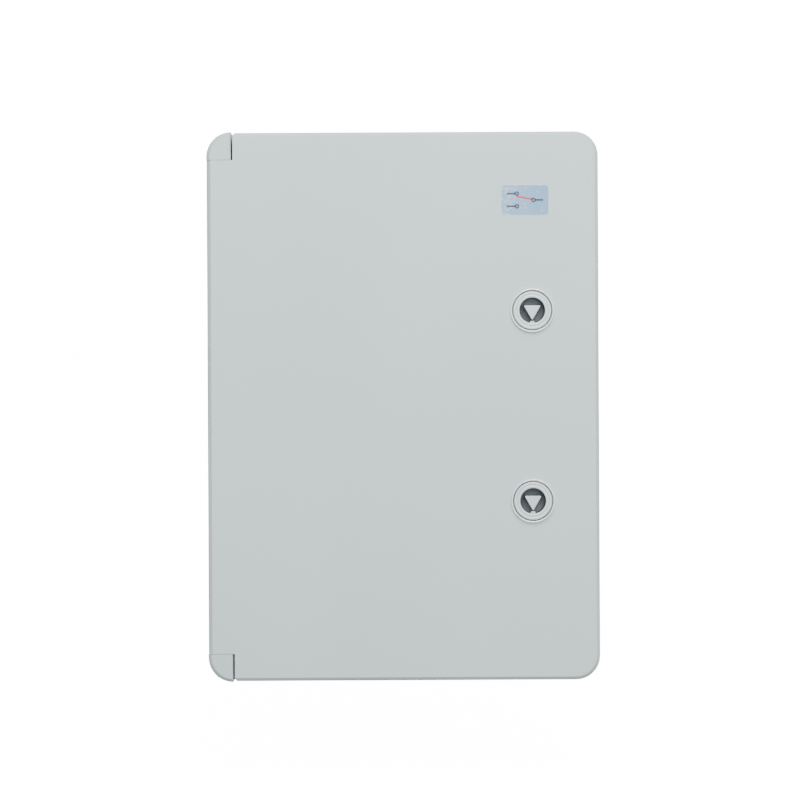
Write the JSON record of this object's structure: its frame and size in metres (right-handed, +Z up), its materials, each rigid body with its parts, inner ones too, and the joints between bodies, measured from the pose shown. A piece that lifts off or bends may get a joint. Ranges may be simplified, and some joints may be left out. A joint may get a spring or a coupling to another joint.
{
  "type": "automatic transfer switch",
  "caption": "Light grey wall cabinet with a hinged door and two triangular-key turn locks; inside, breakers, a control relay, interlocked contactors and terminals.",
  "frame": {"origin": "centre of the wall hole pattern, on the cabinet's back face", "axes": "+X to the right seen from the front, +Y back into the wall, +Z up; the door faces -Y"},
  "size_m": [0.25, 0.1518, 0.35],
  "materials": {
    "cabinet": "light grey moulded plastic",
    "door": "light grey moulded plastic, satin",
    "gasket": "foamed rubber",
    "label": "laminated film",
    "lock_body": "satin plated plastic",
    "lock_face": "satin",
    "zinc": "zinc plated",
    "galvanised": "galvanised sheet",
    "pin_steel": "ground",
    "duct": "grey slotted duct",
    "duct_cover": "grey",
    "breaker_case": "off-white thermoset",
    "toggle": "black",
    "clip": "black",
    "screw": "nickel plated",
    "relay_case": "dark grey",
    "knob": "white",
    "lamp": "green lens",
    "contactor_base": "black thermoset",
    "contactor_head": "off-white thermoset",
    "coil": "taped winding",
    "core": "laminated iron",
    "carrier": "black",
    "spring": "spring wire",
    "interlock_case": "dark grey",
    "rocker": "orange",
    "terminal_grey": "grey polyamide",
    "terminal_blue": "blue polyamide",
    "terminal_green": "green and yellow polyamide",
    "end_stop": "dark polyamide",
    "wire_black": "insulated copper wire",
    "wire_red": "insulated copper wire",
    "wire_green": "green and yellow insulated wire"
  },
  "bodies": {
    "cabinet": {"base_shell": "cabinet", "hinge_pins": "pin_steel", "mounting_plate": "galvanised", "plate_screws": "zinc", "din_rails": "galvanised", "rail_screws": "zinc", "upper_duct": "duct", "upper_duct_cover": "duct_cover", "lower_duct": "duct", "lower_duct_cover": "duct_cover", "mains_breaker_body": "breaker_case", "backup_breaker_body": "breaker_case", "breaker_screws": "screw", "relay_body": "relay_case", "relay_lamps": "lamp", "contactor_screws": "screw", "interlock_body": "interlock_case", "line_terminals": "terminal_grey", "neutral_terminals": "terminal_blue", "earth_terminals": "terminal_green", "terminal_screws": "screw", "end_stops": "end_stop", "power_wires": "wire_black", "control_wires": "wire_red", "earth_wire": "wire_green", "mains_contactor_base": "contactor_base", "mains_contactor_head": "contactor_head", "mains_contactor_coil": "coil", "mains_contactor_core": "core", "mains_contactor_springs": "spring", "backup_contactor_base": "contactor_base", "backup_contactor_head": "contactor_head", "backup_contactor_coil": "coil", "backup_contactor_core": "core", "backup_contactor_springs": "spring"},
    "door": {"door_shell": "door", "door_gasket": "gasket", "door_label": "label", "upper_lock_housing": "lock_body", "lower_lock_housing": "lock_body", "lock_nuts": "zinc", "lock_seals": "gasket"},
    "upper_lock": {"upper_lock_rotor": "lock_face", "upper_lock_cam": "zinc", "upper_lock_screw": "zinc"},
    "lower_lock": {"lower_lock_rotor": "lock_face", "lower_lock_cam": "zinc", "lower_lock_screw": "zinc"},
    "mains_toggle": {"mains_breaker_toggle": "toggle"},
    "backup_toggle": {"backup_breaker_toggle": "toggle"},
    "mains_clip": {"mains_breaker_clip": "clip"},
    "backup_clip": {"backup_breaker_clip": "clip"},
    "delay_knob": {"relay_delay_knob": "knob"},
    "voltage_knob": {"relay_voltage_knob": "knob"},
    "mains_moving_contacts": {"mains_contactor_carrier": "carrier", "mains_contactor_armature": "core"},
    "backup_moving_contacts": {"backup_contactor_carrier": "carrier", "backup_contactor_armature": "core"},
    "interlock_rocker": {"interlock_rocker": "rocker"}
  },
  "joints": [
    {"name": "door_hinge", "type": "hinge", "parent": "cabinet", "child": "door", "pos_m": [-0.117, -0.1455, 0], "axis": [0, 0, -1], "range_deg": [0, 115]},
    {"name": "upper_lock_turn", "type": "hinge", "parent": "door", "child": "upper_lock", "pos_m": [0.0818, -0.15, 0.0604], "axis": [0, 1, 0], "range_deg": [0, 90]},
    {"name": "lower_lock_turn", "type": "hinge", "parent": "door", "child": "lower_lock", "pos_m": [0.0818, -0.15, -0.0604], "axis": [0, 1, 0], "range_deg": [0, 90]},
    {"name": "mains_breaker_switch", "type": "hinge", "parent": "cabinet", "child": "mains_toggle", "pos_m": [-0.05375, -0.074, 0.102], "axis": [1, 0, 0], "range_deg": [0, 64]},
    {"name": "backup_breaker_switch", "type": "hinge", "parent": "cabinet", "child": "backup_toggle", "pos_m": [0.0075, -0.074, 0.102], "axis": [1, 0, 0], "range_deg": [0, 64]},
    {"name": "mains_clip_slide", "type": "slide", "parent": "cabinet", "child": "mains_clip", "axis": [0, 0, -1], "range_m": [0, 0.003], "stiffness_N_per_m": 1000, "springref_m": -0.001},
    {"name": "backup_clip_slide", "type": "slide", "parent": "cabinet", "child": "backup_clip", "axis": [0, 0, -1], "range_m": [0, 0.003], "stiffness_N_per_m": 1000, "springref_m": -0.001},
    {"name": "delay_knob_turn", "type": "hinge", "parent": "cabinet", "child": "delay_knob", "pos_m": [0.052, -0.084, 0.108], "axis": [0, 1, 0], "range_deg": [-135, 135]},
    {"name": "voltage_knob_turn", "type": "hinge", "parent": "cabinet", "child": "voltage_knob", "pos_m": [0.068, -0.084, 0.108], "axis": [0, 1, 0], "range_deg": [-135, 135]},
    {"name": "mains_contactor_travel", "type": "slide", "parent": "cabinet", "child": "mains_moving_contacts", "axis": [0, -1, 0], "range_m": [0, 0.005], "deforming": ["mains_contactor_springs"]},
    {"name": "backup_contactor_travel", "type": "slide", "parent": "cabinet", "child": "backup_moving_contacts", "axis": [0, -1, 0], "range_m": [-0.005, 0], "deforming": ["backup_contactor_springs"]},
    {"name": "interlock_rock", "type": "hinge", "parent": "cabinet", "child": "interlock_rocker", "pos_m": [0.005, -0.0696, -0.016], "axis": [1, 0, 0], "range_deg": [0, 28.7]}
  ],
  "couplings": [
    {"joint": "backup_contactor_travel", "follows": "mains_contactor_travel", "ratio": -1},
    {"joint": "interlock_rock", "follows": "mains_contactor_travel", "rad_per_m": 100}
  ]
}
